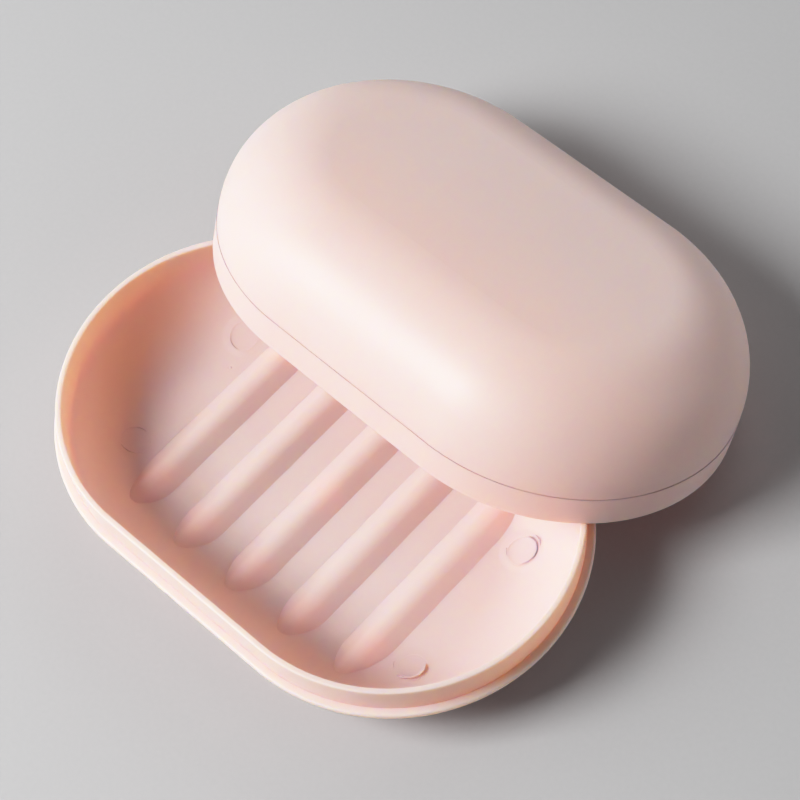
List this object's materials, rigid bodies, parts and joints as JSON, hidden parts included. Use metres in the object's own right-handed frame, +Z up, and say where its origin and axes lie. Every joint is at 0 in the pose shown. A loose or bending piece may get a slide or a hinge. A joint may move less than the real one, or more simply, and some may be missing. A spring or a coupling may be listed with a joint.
{
  "type": "travel soap box",
  "caption": "Pebble-shaped two-piece plastic soap box: a shallow tray with raised drain ridges and an upright lip, and a loose domed lid leaning open across it.",
  "frame": {"origin": "middle of the tray's flat underside, on the table", "axes": "+X along the tray's length, +Y across the tray towards the leaning lid, +Z up"},
  "size_m": [0.1204, 0.1265, 0.048],
  "materials": {
    "tray_plastic": "satin",
    "lid_plastic": "satin"
  },
  "bodies": {
    "tray": {"base_tray": "tray_plastic"},
    "lid": {"lid": "lid_plastic"}
  },
  "joints": [
    {"name": "lid_lift", "type": "slide", "parent": "tray", "child": "lid", "axis": [0, 0, 1], "range_m": [0, 0.06]}
  ]
}
